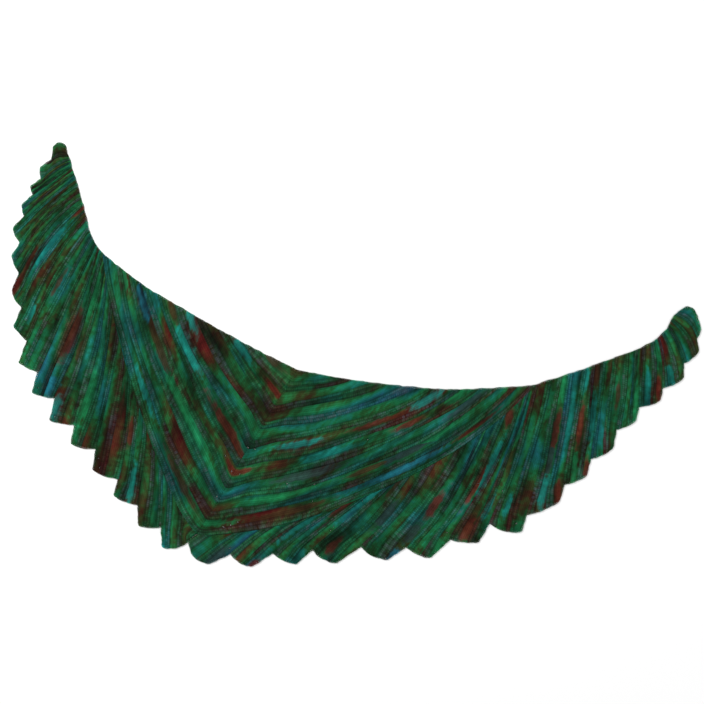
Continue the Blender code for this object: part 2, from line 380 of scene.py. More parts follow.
def along(path):
    """A path's points and the distance to each of them from its start."""
    points = np.array([(p.x, p.y) for p in path])
    steps = np.linalg.norm(np.diff(points, axis=0), axis=1)
    return points, np.concatenate(([0.0], np.cumsum(steps)))


def stitch_counts(paths):
    """The stitch number at each path's start, so that the columns run square to the rows."""
    starts = []
    for i, path in enumerate(paths):
        points, run = along(path)
        middle = len(points) // 2
        heading = points[middle + 1] - points[middle - 1]
        size = np.linalg.norm(heading)
        heading = heading / size if size > 0 else heading
        if i == 0:
            here = 0.0
        else:
            here = last_count + (points[middle] - last_middle) @ heading / STITCH
        starts.append(here - run[middle] / STITCH)
        last_middle, last_count = points[middle], here
    return starts


def zipped(first, second, stitch):
    """Faces between two rows of points, given as numbers into stitch."""
    faces = []
    i = j = 0
    while i < len(first) - 1 or j < len(second) - 1:
        next_first = stitch[first[i + 1]] if i < len(first) - 1 else math.inf
        next_second = stitch[second[j + 1]] if j < len(second) - 1 else math.inf
        if abs(next_first - next_second) < SAME_STITCH:
            faces.append((first[i], first[i + 1], second[j + 1], second[j]))
            i, j = i + 1, j + 1
        elif next_first < next_second:
            faces.append((first[i], first[i + 1], second[j]))
            i += 1
        else:
            faces.append((first[i], second[j + 1], second[j]))
            j += 1
    return faces


def lattice(paths, free_start, free_end, free_first, yarn_start, way):
    """A section's points and faces. free_start and free_end say, for each path, which ends are on
    the shawl's outer edge, and free_first says whether the whole first path is. yarn_start and way
    say where the section's dyed yarn begins, and which way an arm counts it from the V."""
    points, stitch, yarn, row, edge, ends, faces = [], [], [], [], [], [], []
    starts = stitch_counts(paths)
    before = None
    for i, path in enumerate(paths):
        places, run = along(path)
        low, high = starts[i], starts[i] + run[-1] / STITCH
        if run[-1] < SHORTEST_PATH:
            counts = np.array([low])
        else:
            inner = np.arange(math.ceil(low * SAMPLES), math.floor(high * SAMPLES) + 1) / SAMPLES
            inner = inner[(inner > low + END_CLEARANCE) & (inner < high - END_CLEARANCE)]
            counts = np.concatenate(([low], inner, [high]))
        distance = (counts - low) * STITCH
        fade = np.ones(len(counts))
        if free_start[i]:
            fade = np.minimum(fade, distance / EDGE_FADE)
        if free_end[i]:
            fade = np.minimum(fade, (run[-1] - distance) / EDGE_FADE)
        if free_first:
            fade = np.minimum(fade, i / SAMPLES * ROW_HEIGHT / EDGE_FADE)
        ids = list(range(len(points), len(points) + len(counts)))
        points.extend(
            zip(np.interp(distance, run, places[:, 0]), np.interp(distance, run, places[:, 1]))
        )
        stitch.extend(counts)
        yarn.extend(yarn_start + (distance / STITCH * way if way else counts))
        row.extend([i / SAMPLES] * len(counts))
        edge.extend(np.clip(fade, 0, 1))
        ends.append((ids[0], ids[-1]))
        if before:
            faces.extend(zipped(before, ids, stitch))
        before = ids
    lists = (points, stitch, yarn, row, edge)
    return Lattice(*(np.array(numbers) for numbers in lists), ends, faces)


def ends_at_the_neck(wing):
    """For each path of a wing, whether its inner end is on the neck edge."""
    until = sum(row.knitted for row in wing.rows[: wing.corner]) * SAMPLES
    total = sum(row.knitted for row in wing.rows) * SAMPLES + 1
    return [i < until for i in range(total)]


def knitted(name):
    """The lattice of one section. Both arms count their yarn from the V, so that the colours run
    on round its bends."""
    paths = PATHS[name]
    everywhere, nowhere = [True] * len(paths), [False] * len(paths)
    if name == "left_wing":
        return lattice(paths, everywhere, ends_at_the_neck(LEFT_WING), True, 400, 0)
    if name == "right_wing":
        return lattice(paths, everywhere, ends_at_the_neck(RIGHT_WING), True, 800, 0)
    return lattice(paths, nowhere, everywhere, False, 0, -1 if name == "centre_left" else 1)


LATTICES = {name: knitted(name) for name in PATHS}
for name, made in LATTICES.items():
    print(name, "has", len(made.points), "points and", len(made.faces), "faces")

# %% [markdown]
# ## Eyelets
# Small round holes run along the first rows of the teeth and beside the V, where the knitter put
# the yarn over the needle. They are about 3 mm wide. Each takes the faces round one point of the
# lattice away. Their places are read off in pixels of the photograph.

# %% Places of the eyelets
EYELETS = [
    (27, 355), (38, 388), (55, 417), (77, 443), (99, 458), (100, 467), (134, 418), (151, 454),
    (167, 535), (232, 471), (240, 474), (248, 447), (255, 449), (217, 497), (223, 527),
    (231, 525), (238, 522), (226, 456), (287, 484), (315, 484), (312, 501), (362, 501),
    (334, 526), (330, 531), (284, 536), (230, 548), (395, 429), (368, 440), (447, 532),
    (478, 484), (502, 491), (516, 523),
]
EYELET_SQUEEZE = 0.6  # how far its ring of points is drawn in
EYELET_EDGE = 0.55  # how thick the cloth is round it: 0 is a free edge and 1 is full


def on_cloth(across, down):
    """A pixel of the photograph as a place in the row tables."""
    return np.array(((across - FRAME_PIXELS / 2) * PIXEL, (FRAME_PIXELS / 2 - down) * PIXEL))


def nearest(made, place):
    """The number of a lattice's nearest point, and how far off it is."""
    away = np.linalg.norm(made.points - place, axis=1)
    return int(away.argmin()), float(away.min())


def holes(made):
    """The points to cut out of a section for its eyelets."""
    cut = set()
    for across, down in EYELETS:
        place = on_cloth(across, down)
        number, away = nearest(made, place)
        others = [nearest(other, place)[1] for other in LATTICES.values()]
        if away <= min(others) and made.edge[number] == 1:
            cut.add(number)
    return cut


CUTS = {name: holes(made) for name, made in LATTICES.items()}
print("eyelets:", {name: len(cut) for name, cut in CUTS.items()})

# %% [markdown]
# ## The dye
# The yarn was dyed in patches of green, teal, blue and dark red, so the colour changes along the
# yarn and not across it. In the knitting this makes streaks that run along the rows, and where a
# few rows agree, a pool of one colour. Later, each welt gets its own run of streaks from a noise
# that is long along the rows. The pools that stand out in the photograph come first. They are
# listed in the table below, and painted on the points.

# %% The large pools of colour
# across and down are the pool's middle in the photograph, length and width its size in millimetres
Pool = namedtuple("Pool", "dye across down length width")
DYES = {
    "teal": (0.006, 0.150, 0.125),
    "blue": (0.009, 0.110, 0.160),
    "green": (0.008, 0.150, 0.050),
    "red": (0.082, 0.007, 0.006),
    "brown": (0.038, 0.018, 0.007),
    "dusk": (0.017, 0.029, 0.031),
}
POOLS = [
    # left wing
    Pool("teal", 48, 243, 100, 36),
    Pool("red", 80, 211, 40, 18),
    Pool("red", 18, 289, 45, 23),
    Pool("brown", 58, 282, 60, 13),
    Pool("green", 95, 292, 100, 47),
    Pool("red", 75, 334, 105, 40),
    Pool("brown", 84, 350, 60, 18),
    Pool("teal", 30, 312, 40, 16),
    Pool("blue", 53, 386, 50, 29),
    Pool("teal", 57, 408, 50, 23),
    Pool("green", 90, 398, 110, 29),
    Pool("brown", 121, 402, 80, 8),
    Pool("red", 134, 432, 60, 18),
    Pool("teal", 129, 482, 80, 23),
    # left arm of the V
    Pool("green", 122, 280, 60, 18),
    Pool("blue", 147, 302, 80, 21),
    Pool("brown", 171, 313, 60, 13),
    Pool("brown", 163, 345, 130, 17),
    Pool("teal", 190, 322, 50, 16),
    Pool("teal", 188, 352, 110, 20),
    Pool("teal", 142, 390, 110, 13),
    Pool("green", 190, 412, 170, 31),
    Pool("red", 226, 435, 170, 14),
    Pool("teal", 243, 347, 60, 16),
    Pool("brown", 270, 365, 60, 13),
    Pool("red", 272, 394, 70, 9),
    Pool("brown", 185, 478, 150, 12),
    Pool("red", 238, 476, 70, 10),
    Pool("green", 213, 526, 90, 13),
    # right arm of the V
    Pool("green", 278, 492, 110, 13),
    Pool("brown", 295, 506, 150, 10),
    Pool("dusk", 310, 476, 140, 18),
    Pool("teal", 300, 447, 90, 13),
    Pool("teal", 330, 458, 120, 17),
    Pool("red", 376, 426, 110, 12),
    Pool("red", 410, 425, 70, 12),
    Pool("green", 432, 433, 80, 16),
    Pool("teal", 428, 399, 80, 18),
    Pool("green", 457, 394, 60, 16),
    Pool("dusk", 467, 409, 110, 18),
    Pool("red", 476, 427, 110, 10),
    Pool("dusk", 405, 450, 130, 13),
    Pool("brown", 372, 471, 110, 9),
    Pool("blue", 400, 468, 200, 16),
    # right wing, from its first rows to its tip
    Pool("dusk", 215, 552, 70, 21),
    Pool("red", 251, 563, 36, 18),
    Pool("teal", 298, 524, 110, 18),
    Pool("teal", 294, 555, 50, 18),
    Pool("red", 342, 507, 70, 17),
    Pool("red", 330, 542, 50, 16),
    Pool("teal", 372, 497, 70, 16),
    Pool("dusk", 385, 512, 80, 18),
    Pool("blue", 388, 555, 50, 18),
    Pool("brown", 397, 488, 60, 12),
    Pool("dusk", 415, 535, 60, 18),
    Pool("green", 431, 547, 50, 21),
    Pool("red", 434, 507, 70, 16),
    Pool("red", 465, 527, 60, 36),
    Pool("red", 474, 482, 90, 16),
    Pool("teal", 485, 507, 60, 12),
    Pool("teal", 493, 468, 120, 22),
    Pool("red", 510, 418, 40, 18),
    Pool("teal", 510, 507, 50, 12),
    Pool("teal", 543, 489, 70, 21),
    Pool("red", 553, 492, 50, 18),
    Pool("dusk", 554, 460, 70, 13),
    Pool("red", 554, 430, 90, 16),
    Pool("green", 560, 386, 60, 23),
    Pool("green", 571, 470, 70, 18),
    Pool("teal", 567, 418, 100, 18),
    Pool("red", 577, 424, 100, 20),
    Pool("red", 586, 468, 40, 16),
    Pool("teal", 583, 377, 60, 21),
    Pool("teal", 592, 418, 100, 22),
    Pool("brown", 597, 371, 50, 16),
    Pool("brown", 616, 396, 60, 13),
    Pool("green", 633, 400, 60, 18),
    Pool("brown", 644, 353, 40, 16),
    Pool("teal", 645, 385, 60, 18),
    Pool("green", 654, 356, 50, 16),
    Pool("red", 655, 390, 60, 13),
    Pool("red", 665, 345, 45, 21),
    Pool("teal", 670, 374, 40, 21),
]
POOL_REACH = 12.0  # millimetres that a pool may lie off a section and still colour it
POOL_SHIFT = 2.5  # rows that a pool may move towards the middle of the nearest smooth band
POOL_BLUNTNESS = 1.2  # above 1, a pool stays strong further out and ends more sharply
POOL_FADE = 0.7  # how weak a pool is at its border: the larger, the weaker


def painted(made):
    """A section's pool colours: red, green, blue and how strong, for each point."""
    paint = np.zeros((len(made.points), 4))
    for pool in POOLS:
        number, away = nearest(made, on_cloth(pool.across, pool.down))
        if away > POOL_REACH:
            continue
        phase = made.row[number] % ROWS_PER_WELT
        half = ROWS_PER_WELT / 2
        to_band = (half * SMOOTH_SHARE - phase + half) % ROWS_PER_WELT - half
        row = made.row[number] + np.clip(to_band, -POOL_SHIFT, POOL_SHIFT)
        run = (made.stitch - made.stitch[number]) * STITCH / (pool.length / 2)
        rise = (made.row - row) * ROW_HEIGHT / (pool.width / 2)
        weight = np.exp(-((run**2 + rise**2) ** POOL_BLUNTNESS) * POOL_FADE)
        stronger = weight > paint[:, 3]
        paint[stronger, :3] = DYES[pool.dye]
        paint[stronger, 3] = weight[stronger]
    return paint


PAINT = {name: painted(made) for name, made in LATTICES.items()}
print("pools:", len(POOLS))

# %% [markdown]
# ## Closed sheets of cloth
# Each lattice becomes a thin closed shell. Its points are doubled, one layer for the upper face and
# one for the underside, and a wall joins the two layers along every open edge, also round the
# eyelets. Both layers still lie at height 0: the relief lifts the upper one later.

# %% A closed shell from a lattice
# What a point of the cloth knows: its attribute's name and kind, and the name of its values
POINT_DATA = (
    ("stitch", "FLOAT_VECTOR", "vector"),
    ("yarn", "FLOAT", "value"),
    ("dye", "FLOAT_COLOR", "color"),
)
# Two slow waves: the steps by yarn and by row, the start, and the height in rows
WAVERS = ((0.11, 0.31, 0.0, 0.5), (0.043, -0.19, 1.3, 0.6))


def open_edges(faces):
    """The edges that only one face uses, in that face's direction."""
    seen = {}
    for face in faces:
        for a, b in zip(face, face[1:] + face[:1]):
            if (b, a) in seen:
                del seen[(b, a)]
            else:
                seen[(a, b)] = True
    return list(seen)


def uneven(made):
    """The row numbers as a hand knits them: the welts waver to and fro a little."""
    waver = sum(
        np.sin(made.yarn * by_yarn + made.row * by_row + start) * rows
        for by_yarn, by_row, start, rows in WAVERS
    )
    return made.row + waver * np.minimum(made.row / ROWS_PER_WELT, 1)


def shell(name, made, cut, paint):
    """A flat closed mesh with the stitch, row, edge and yarn numbers on its points."""
    faces = [face for face in made.faces if not cut.intersection(face)]
    points = made.points.copy()
    edge = made.edge.copy()
    rims = open_edges(faces)
    for centre in cut:
        ring = {v for face in made.faces if centre in face for v in face if v != centre}
        for v in ring:
            points[v] = points[centre] + (points[v] - points[centre]) * EYELET_SQUEEZE
            edge[v] = EYELET_EDGE
    count = len(points)
    flat = np.zeros((count * 2, 3))
    flat[:count, :2] = (points - np.array(MIDDLE)) * MM
    flat[count:] = flat[:count]
    under = [tuple(v + count for v in reversed(face)) for face in faces]
    walls = [(b, a, a + count, b + count) for a, b in rims]
    mesh = bpy.data.meshes.new(name)
    mesh.from_pydata(flat.tolist(), [], faces + under + walls)
    numbers = np.zeros((count * 2, 3))
    numbers[:, 0] = np.tile(made.stitch, 2)
    numbers[:, 1] = np.tile(uneven(made), 2)
    numbers[:count, 2] = edge
    numbers[count:, 2] = -1
    tables = (numbers, np.tile(made.yarn, 2), np.tile(paint, (2, 1)))
    for (label, kind, value), table in zip(POINT_DATA, tables):
        attribute = mesh.attributes.new(label, kind, "POINT")
        attribute.data.foreach_set(value, table.astype(np.float32).ravel())
    return mesh


def tidied(mesh):
    """Loose points go, and all faces point outwards."""
    bm = bmesh.new()
    bm.from_mesh(mesh)
    loose = [v for v in bm.verts if not v.link_faces]
    bmesh.ops.delete(bm, geom=loose, context="VERTS")
    bmesh.ops.recalc_face_normals(bm, faces=bm.faces)
    open_left = sum(not edge.is_manifold for edge in bm.edges)
    bm.to_mesh(mesh)
    bm.free()
    mesh.shade_smooth()
    return open_left


SHELLS = {}
for name, made in LATTICES.items():
    SHELLS[name] = shell(name + "_wool", made, CUTS[name], PAINT[name])
    print(name, "shell:", len(SHELLS[name].polygons), "faces, open edges:", tidied(SHELLS[name]))

# %% [markdown]
# ## Helpers for node trees
# Shader trees and geometry trees use the same Math, noise and curve nodes. A Wire is a node's
# output that can be added and multiplied like a number: each such sum adds a Math node to the tree.
# The helpers make one node each, feed it numbers or wires, and return its output as a wire.

# %% Wires
class Wire:
    """A node's output, for sums that add Math nodes to its tree."""

    def __init__(self, socket):
        self.socket = socket

    def math(self, operation, *others):
        return calc(self.socket.id_data, operation, self, *others)

    def __add__(self, other):
        return self.math("ADD", other)

    def __sub__(self, other):
        return self.math("SUBTRACT", other)

    def __mul__(self, other):
        return self.math("MULTIPLY", other)

    def __truediv__(self, other):
        return self.math("DIVIDE", other)

    def __abs__(self):
        return self.math("ABSOLUTE")

    def wave(self, cycles):
        """A cosine with this many cycles for each step of one."""
        return (self * (cycles * 2 * math.pi)).math("COSINE")


def feed(tree, socket, value):
    """Sets a socket to a number, name or colour, or links a wire to it."""
    if isinstance(value, Wire):
        tree.links.new(value.socket, socket)
    else:
        socket.default_value = value


def add(tree, kind, inputs=None, **settings):
    """A new node with its settings made and its inputs, by name or number, fed."""
    node = tree.nodes.new(kind)
    for label, value in settings.items():
        setattr(node, label, value)
    for label, value in (inputs or {}).items():
        feed(tree, node.inputs[label], value)
    return node


def out(node, label=0):
    """One of a node's outputs as a wire."""
    return Wire(node.outputs[label])


# %% One helper for each kind of node
def calc(tree, operation, *values):
    """A Math node's answer."""
    return out(add(tree, "ShaderNodeMath", dict(enumerate(values)), operation=operation))


def combine(tree, x, y, z):
    """Three numbers as a vector."""
    return out(add(tree, "ShaderNodeCombineXYZ", {0: x, 1: y, 2: z}))


def separate(tree, vector):
    """A vector's three numbers."""
    node = add(tree, "ShaderNodeSeparateXYZ", {0: vector})
    return [out(node, k) for k in range(3)]


def noise(tree, vector, scale, detail=1.0, roughness=0.5, output=0):
    """A noise: output 0 is a number round 0.5, and output 1 is three of them."""
    inputs = {"Vector": vector, "Scale": scale, "Detail": detail, "Roughness": roughness}
    return out(add(tree, "ShaderNodeTexNoise", inputs), output)


def spread(tree, value, low, high, new_low, new_high, kind="LINEAR"):
    """A Map Range node's answer, held between its new limits."""
    labels = ("Value", "From Min", "From Max", "To Min", "To Max")
    inputs = dict(zip(labels, (value, low, high, new_low, new_high)))
    return out(add(tree, "ShaderNodeMapRange", inputs, interpolation_type=kind))


def profile(tree, value, points):
    """A smooth curve through points, read at value."""
    node = add(tree, "ShaderNodeFloatCurve", {"Value": value})
    curve = node.mapping.curves[0]
    curve.points[0].location = points[0]
    curve.points[1].location = points[-1]
    for place in points[1:-1]:
        curve.points.new(*place)
    node.mapping.update()
    return out(node)


def ramp(tree, value, stops):
    """A colour ramp with soft changes between its stops."""
    node = add(tree, "ShaderNodeValToRGB", {0: value})
    node.color_ramp.interpolation = "EASE"
    points = node.color_ramp.elements
    while len(points) < len(stops):
        points.new(1.0)
    for point, (place, colour) in zip(points, stops):
        point.position = place
        point.color = (*colour, 1)
    return out(node)


def blend(tree, kind, amount, first, second):
    """Two colours mixed."""
    inputs = {0: amount, 6: first, 7: second}
    return out(add(tree, "ShaderNodeMix", inputs, data_type="RGBA", blend_type=kind), 2)


def shaded(tree, colour, light):
    """A colour times a number."""
    return blend(tree, "MULTIPLY", 1.0, colour, combine(tree, light, light, light))


def between(tree, amount, first, second):
    """A number between two others."""
    return out(add(tree, "ShaderNodeMix", {0: amount, 2: first, 3: second}))


def random_number(tree, first, second):
    """A number from 0 to 1 that is the same wherever first and second are."""
    place = combine(tree, first, second, 0)
    node = add(tree, "ShaderNodeTexWhiteNoise", noise_dimensions="2D")
    feed(tree, node.inputs["Vector"], place)
    return out(node, "Value")


def new_tree(name, kind, inputs, outputs):
    """A node group with named sockets: the tree, a wire for each input, and the node that takes
    the results. Each input is a name, a kind and a starting value."""
    tree = bpy.data.node_groups.new(name, kind)
    for label, kind_of, start in inputs:
        socket = tree.interface.new_socket(
            name=label, in_out="INPUT", socket_type="NodeSocket" + kind_of
        )
        if start is not None:
            socket.default_value = start
    for label, kind_of in outputs:
        tree.interface.new_socket(
            name=label, in_out="OUTPUT", socket_type="NodeSocket" + kind_of
        )
    source = tree.nodes.new("NodeGroupInput")
    given = {label: out(source, label) for label, _, _ in inputs}
    return tree, given, tree.nodes.new("NodeGroupOutput")


print("helpers ready")

# %% [markdown]
# ## The relief of the welts
# Seen close up, a welt is a wide soft band of smooth stitches and two narrow ridges of purl bumps,
# with a valley on each side of the band. It repeats along the whole shawl, so Geometry Nodes raise
# it: the tree reads the stitch and row numbers of each point, works out its height and lifts it.
# The purl bumps of one ridge sit between those of the other. The cloth also wavers a little, and
# thins towards its free edge.

# %% The shape of a welt
SECOND_RIDGE = 7 / 9  # of a welt: its second ridge starts here
WELT_HEIGHTS = [
    (0.0, 0.1), (0.05, 0.36), (0.12, 0.62), (0.22, 0.8), (0.34, 0.8), (0.44, 0.6), (0.51, 0.3),
    (0.556, 0.1), (0.61, 0.6), (0.667, 1.0), (0.722, 0.72), (0.778, 0.45), (0.833, 0.72),
    (0.889, 1.0), (0.945, 0.6), (1.0, 0.1),
]


def ridge_number(row):
    """Which purl ridge a row belongs to. Each welt has two."""
    welts = row / ROWS_PER_WELT
    return welts.math("FLOOR") * 2 + welts.math("FRACT").math("GREATER_THAN", SECOND_RIDGE)


def purl_share(tree, phase, before, after):
    """0 in a welt's smooth band and 1 in its ridges, with a soft step from before to after."""
    low, high = SMOOTH_SHARE - before, SMOOTH_SHARE + after
    return spread(tree, phase, low, high, 0, 1, "SMOOTHSTEP")


def half_shifted(stitch, row):
    """The stitch numbers, half a stitch further on every other ridge."""
    return ridge_number(row) * 0.5 + stitch


def swayed(tree, place, scale, waver):
    """How far a place sways to and fro, in x and in y."""
    x, y, _ = separate(tree, noise(tree, place, scale, output=1))
    return (x - 0.5) * waver, (y - 0.5) * waver


def moved_and_dyed(tree, geometry, offset, given, result):
    """The end of both geometry trees: real meshes, moved, with their wool set."""
    real = out(add(tree, "GeometryNodeRealizeInstances", {0: geometry}))
    moved = out(add(tree, "GeometryNodeSetPosition", {"Geometry": real, "Offset": offset}))
    inputs = {"Geometry": moved, "Material": given["Wool"]}
    feed(tree, result.inputs["Geometry"], out(add(tree, "GeometryNodeSetMaterial", inputs)))


# %% The knit relief tree
def knit_relief():
    """Lifts the upper layer of a section into welts and stitches."""
    tree, given, result = new_tree(
        "Knit relief",
        "GeometryNodeTree",
        [
            ("Geometry", "Geometry", None),
            ("Cloth", "Float", 2.2 * MM),
            ("Welt Rise", "Float", 1.8 * MM),
            ("Bump Rise", "Float", 0.3 * MM),
            ("Smooth Rise", "Float", 0.16 * MM),
            ("Unevenness", "Float", 0.9 * MM),
            ("Waver", "Float", 1.6 * MM),
            ("Wool", "Material", None),
        ],
        [("Geometry", "Geometry")],
    )
    numbers = add(
        tree, "GeometryNodeInputNamedAttribute", {"Name": "stitch"}, data_type="FLOAT_VECTOR"
    )
    stitch, row, edge = separate(tree, out(numbers, "Attribute"))
    phase = (row / ROWS_PER_WELT).math("FRACT")
    welt = profile(tree, phase, WELT_HEIGHTS) * given["Welt Rise"]
    purl = purl_share(tree, phase, 0.02, 0.06)
    smooth_share = calc(tree, "SUBTRACT", 1, purl)
    swell = abs(row.wave(0.5))
    bump = half_shifted(stitch, row).wave(1) * swell * purl * given["Bump Rise"]
    column = stitch.wave(1) * smooth_share * given["Smooth Rise"]
    lumps = noise(tree, combine(tree, stitch, row, 0), 0.23, 2.0, 0.6)
    lumpy = (lumps - 0.5) * given["Unevenness"]
    thin = spread(tree, edge, 0, 1, 0.7, 1, "SMOOTHSTEP")
    upper = edge.math("GREATER_THAN", -0.5)
    height = (given["Cloth"] + welt + bump + column + lumpy) * thin * upper

    position = out(tree.nodes.new("GeometryNodeInputPosition"))
    sway_x, sway_y = swayed(tree, position, 16.0, given["Waver"])
    offset = combine(tree, sway_x, sway_y, height)
    moved_and_dyed(tree, given["Geometry"], offset, given, result)
    return tree


RELIEF = knit_relief()
print("relief tree:", len(RELIEF.nodes), "nodes")


# %% Running a tree on a piece
def with_nodes(name, source, tree, settings):
    """The plain mesh that a geometry tree makes from a mesh or curve."""
    maker = bpy.data.objects.new(name + "_maker", source)
    scene.collection.objects.link(maker)
    modifier = maker.modifiers.new("maker", "NODES")
    modifier.node_group = tree
    sockets = {s.name: s.identifier for s in tree.interface.items_tree if s.in_out == "INPUT"}
    for label, value in settings.items():
        modifier[sockets[label]] = value
    evaluated = maker.evaluated_get(bpy.context.evaluated_depsgraph_get())
    mesh = bpy.data.meshes.new_from_object(evaluated)
    mesh.name = name
    bpy.data.objects.remove(maker)
    return mesh


# %% [markdown]
# ## The wool's dye, relief and painted shade
# Two node groups hold what every piece of this wool shares. The first gives the dye, with painted
# highlights on the purl bumps, and the painted shade in each welt's valleys. Each welt has its own
# run of colours along the yarn, from dark red over olive and green to teal and blue, and its purl
# ridges are greyer and dotted. The second gives the fine relief that the mesh is too coarse for:
# the two legs of every smooth stitch, the small purl bumps and the fibres of the yarn. The material
# also paints shade into the hollows of that relief and a highlight onto its tops.

# %% The dyed colours and the shade in a welt's valleys
HUES = [
    (0.17, (0.072, 0.007, 0.006)),
    (0.29, (0.050, 0.018, 0.007)),
    (0.38, (0.026, 0.038, 0.010)),
    (0.46, (0.012, 0.076, 0.020)),
    (0.54, (0.007, 0.108, 0.038)),
    (0.62, (0.006, 0.102, 0.060)),
    (0.72, (0.006, 0.108, 0.098)),
    (0.88, (0.010, 0.080, 0.120)),
]
PURL_GREY = (0.048, 0.060, 0.072, 1)
# Painted shade: how dark the colour is painted across a welt, darkest in its valleys
VALLEY_SHADE = [
    (0.0, 0.6), (0.05, 0.74), (0.14, 0.93), (0.28, 1.0), (0.42, 0.93), (0.5, 0.77),
    (0.556, 0.6), (0.61, 0.72), (0.667, 0.88), (0.722, 0.76), (0.778, 0.62),
    (0.833, 0.76), (0.889, 0.88), (0.945, 0.72), (1.0, 0.6),
]
print("hues:", len(HUES), "from red to blue")


# %% The dye group
def streaks(tree, x, y, layer, detail=1.0, roughness=0.5):
    """A noise over the yarn and the rows. Each layer has its own."""
    return noise(tree, combine(tree, x, y, layer), 1.0, detail, roughness)


def dye_group():
    """The colour of the yarn at a stitch and row, and the painted shade of the welt's valleys."""
    tree, given, result = new_tree(
        "Variegated wool",
        "ShaderNodeTree",
        [
            ("Stitch", "Vector", None),
            ("Yarn", "Float", 0.0),
            ("Pool", "Color", None),
            ("Pool Strength", "Float", 0.0),
        ],
        [("Color", "Color"), ("Painted Valley Shade", "Float")],
    )
    stitch, row, _ = separate(tree, given["Stitch"])
    place = given["Yarn"]
    welts = row / ROWS_PER_WELT
    phase = welts.math("FRACT")
    purl = purl_share(tree, phase, 0.01, 0.03)
    # Each row has one yarn. Its colour follows the V of the stitches up into the next row
    vee = abs(stitch.math("FRACT") - 0.5)
    own = random_number(tree, (row + vee * 0.7).math("FLOOR"), 0.0) - 0.5

    # Each welt has its own run of colours, and its ridges lie a little further along the yarn
    run = random_number(tree, welts.math("FLOOR"), 4.0)
    ridge = ridge_number(row)
    run_x = run * 31.0 + purl * (random_number(tree, ridge, 6.0) * 0.5)
    hue = streaks(tree, place * 0.036 + run_x, row * 0.06, 0, 1.0, 0.45)
    area = streaks(tree, place * 0.02, row * 0.06, 7.3)
    mottle = streaks(tree, place * 0.3, row * 0.22, 3.1, 2.0, 0.6)
    hue = (area - 0.5) * 0.6 + hue
    hue = (mottle - 0.5) * 0.3 + hue
    colour = ramp(tree, own * 0.02 + hue, HUES)

    # The large pools, whose borders are broken up
    near = given["Pool Strength"]
    strength = near + (own * 0.12 + (mottle - 0.5) * 1.3)
    strength = spread(tree, strength, 0.15, 0.8, 0, 1, "SMOOTHSTEP")
    strength = strength * near.math("GREATER_THAN", 0.02)
    strength = strength * spread(tree, purl, 0, 1, 0.85, 0.65)
    colour = blend(tree, "MIX", strength, colour, given["Pool"])

    # Purl bumps mix light and dark ends of the colours, so the ridges are greyer. Each bump is also
    # painted lighter or darker at random, a painted highlight on the bumps that catch the light
    dot = random_number(tree, half_shifted(stitch, row).math("FLOOR"), ridge)
    dusk = streaks(tree, place * 0.06 + run * 17.0, row * 0.1, 1.9)
    dusk = spread(tree, dusk, 0.42, 0.62, 0.2, 1, "SMOOTHSTEP")
    greyness = purl * spread(tree, dot, 0, 1, 0.1, 0.65) * dusk
    colour = blend(tree, "MIX", greyness, colour, PURL_GREY)
    plain = spread(tree, dot, 0, 1, 1.0, 1.15)
    painted_bump_light = spread(tree, dot, 0, 1, 0.76, 1.22)
    light = between(tree, purl, plain, painted_bump_light)

    # Lighter and darker lengths of yarn
    tone = streaks(tree, place * 0.05 + run_x, row * 0.12, 9.7, 2.0)
    light = light * spread(tree, tone, 0.25, 0.75, 0.2, 1.5)
    light = light * spread(tree, mottle, 0.3, 0.7, 0.72, 1.28) * (own * 0.2 + 1.0)
    feed(tree, result.inputs["Color"], shaded(tree, colour, light))
    # The painted shade of the welt's valleys, as a second output
    feed(tree, result.inputs["Painted Valley Shade"], profile(tree, phase, VALLEY_SHADE))
    return tree


DYE_GROUP = dye_group()
print("dye group:", len(DYE_GROUP.nodes), "nodes")


# %% The stitch relief group
def stitch_group():
    """The height of the yarn within each stitch."""
    tree, given, result = new_tree(
        "Stitch relief",
        "ShaderNodeTree",
        [("Stitch", "Vector", None), ("Place", "Vector", None)],
        [("Height", "Float")],
    )
    stitch, row, _ = separate(tree, given["Stitch"])
    across = abs(stitch.math("FRACT") - 0.5)
    purl = purl_share(tree, (row / ROWS_PER_WELT).math("FRACT"), 0.01, 0.03)
    # Smooth stitches: two legs that rise outwards, with a groove between the columns
    leg = (row - across * 1.1).wave(1) * 0.5 + 0.5
    leg = leg * (stitch.wave(2) * -0.3 + 0.7)
    # Purl bumps: short arcs, each ridge set off by half a stitch from the one below
    arc = half_shifted(stitch, row).wave(1) * 0.5 + 0.5
    arc = arc * abs(row.wave(0.5))
    fibre = noise(tree, given["Place"], 900.0, 4.0, 0.65)
    slub = noise(tree, given["Place"], 150.0, 2.0, 0.6)
    height = fibre * 0.35 + between(tree, purl, leg, arc)
    feed(tree, result.inputs["Height"], slub * 0.6 + height)
    return tree


STITCH_GROUP = stitch_group()
print("stitch group:", len(STITCH_GROUP.nodes), "nodes")


